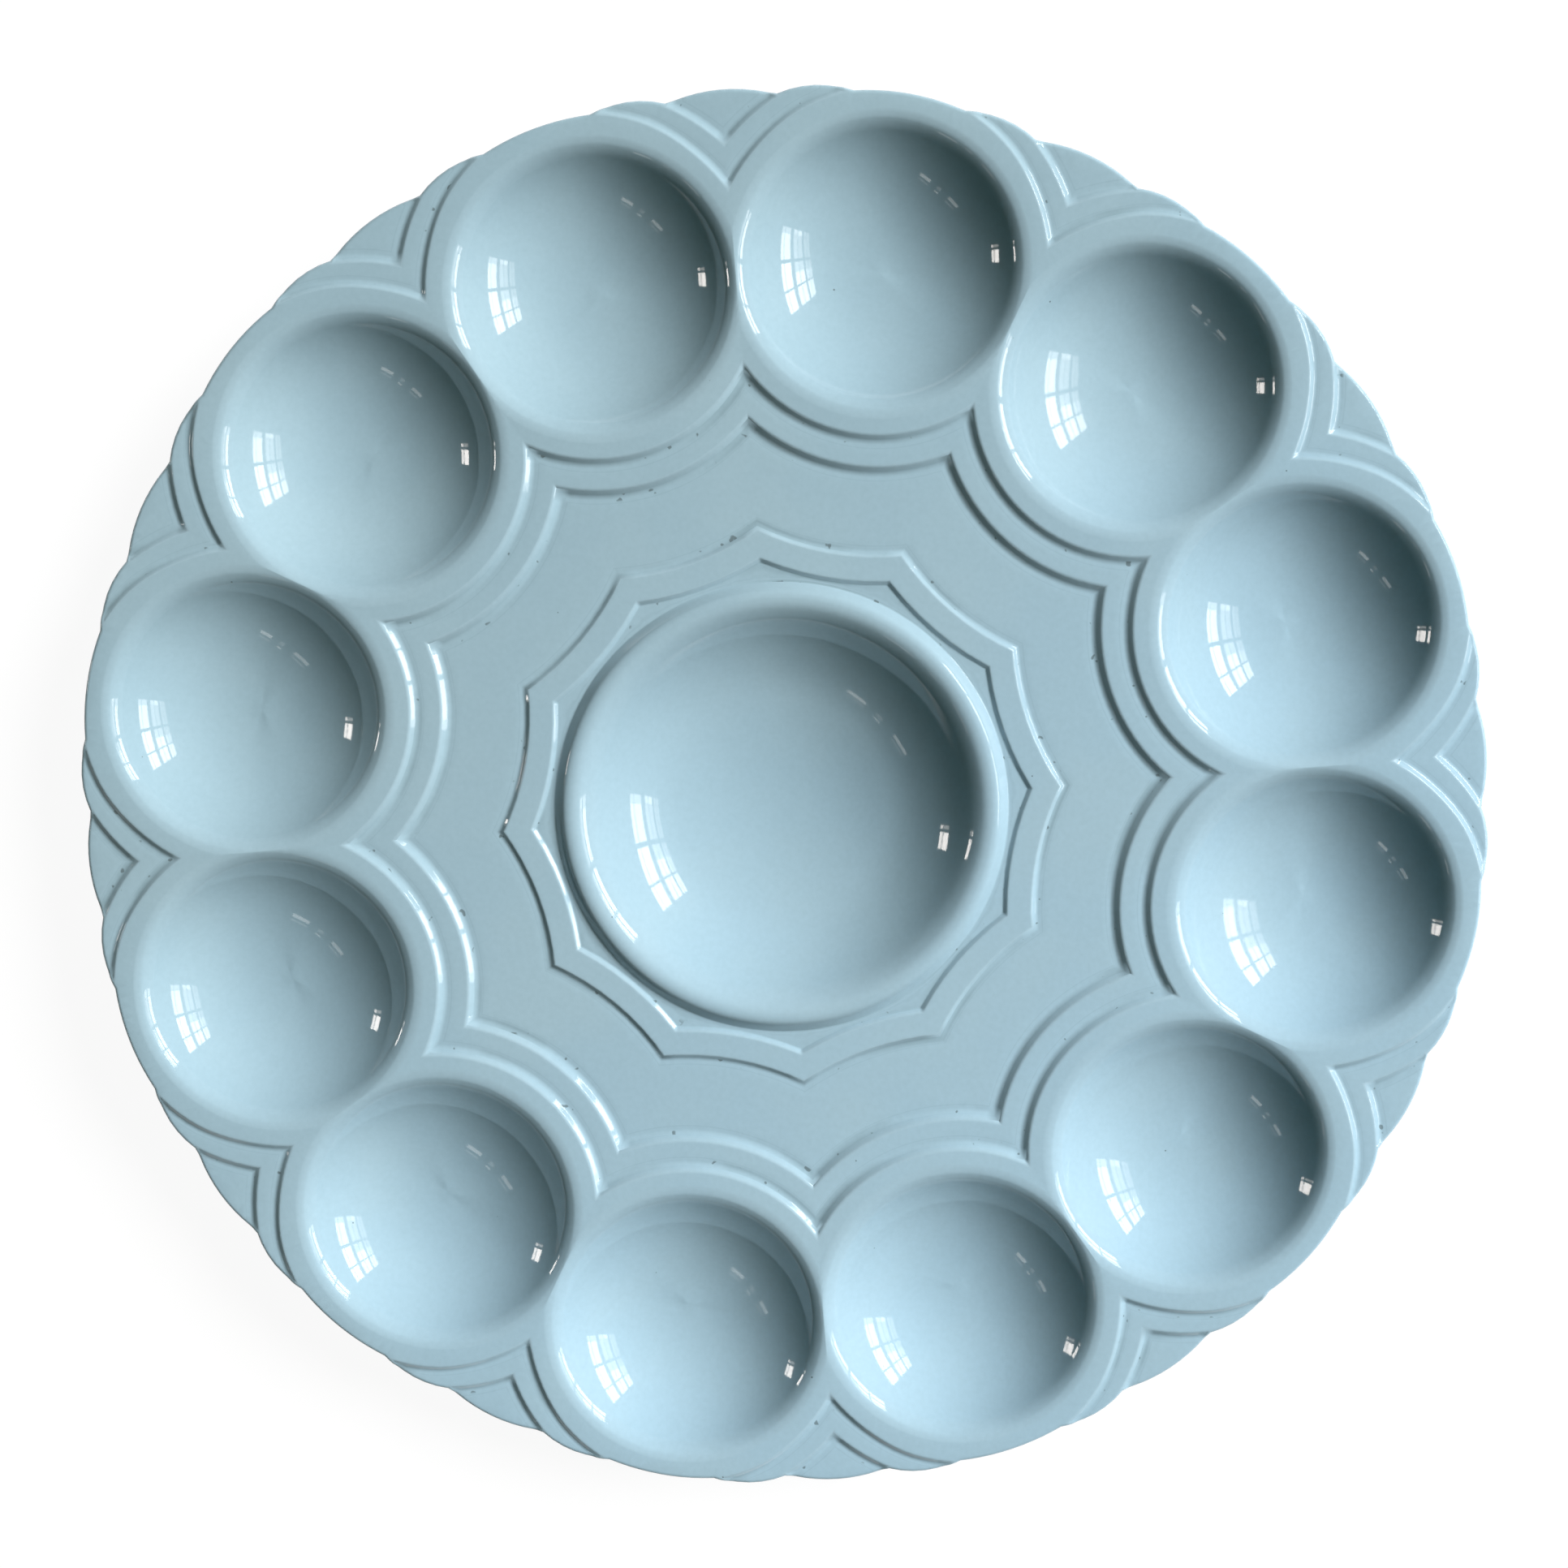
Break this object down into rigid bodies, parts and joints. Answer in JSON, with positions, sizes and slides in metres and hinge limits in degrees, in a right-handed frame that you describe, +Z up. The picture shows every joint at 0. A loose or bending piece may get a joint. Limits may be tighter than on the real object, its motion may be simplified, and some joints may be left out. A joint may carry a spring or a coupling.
{
  "type": "oyster tray",
  "caption": "Round glazed earthenware tray with a ring of round oyster wells about a larger sauce well, stepped relief, a star border, a lobed rim and a foot ring.",
  "frame": {"origin": "centre of the foot ring's base, on the surface that the tray stands on", "axes": "+Z up along the sauce well's axis; +X through the middle of the first oyster well"},
  "size_m": [0.3604, 0.3604, 0.0307],
  "materials": {
    "glaze": "glossy pale blue-grey glaze, darker where it pools in the creases",
    "bare_clay": "unglazed pale buff earthenware, wiped smooth, slightly worn"
  },
  "bodies": {
    "root": {"oyster_well_01": "glaze", "oyster_well_02": "glaze", "oyster_well_03": "glaze", "oyster_well_04": "glaze", "oyster_well_05": "glaze", "oyster_well_06": "glaze", "oyster_well_07": "glaze", "oyster_well_08": "glaze", "oyster_well_09": "glaze", "oyster_well_10": "glaze", "oyster_well_11": "glaze", "oyster_well_12": "glaze", "centre_panel": "glaze", "sauce_well": "glaze", "foot_ring": "bare_clay"}
  },
  "joints": []
}
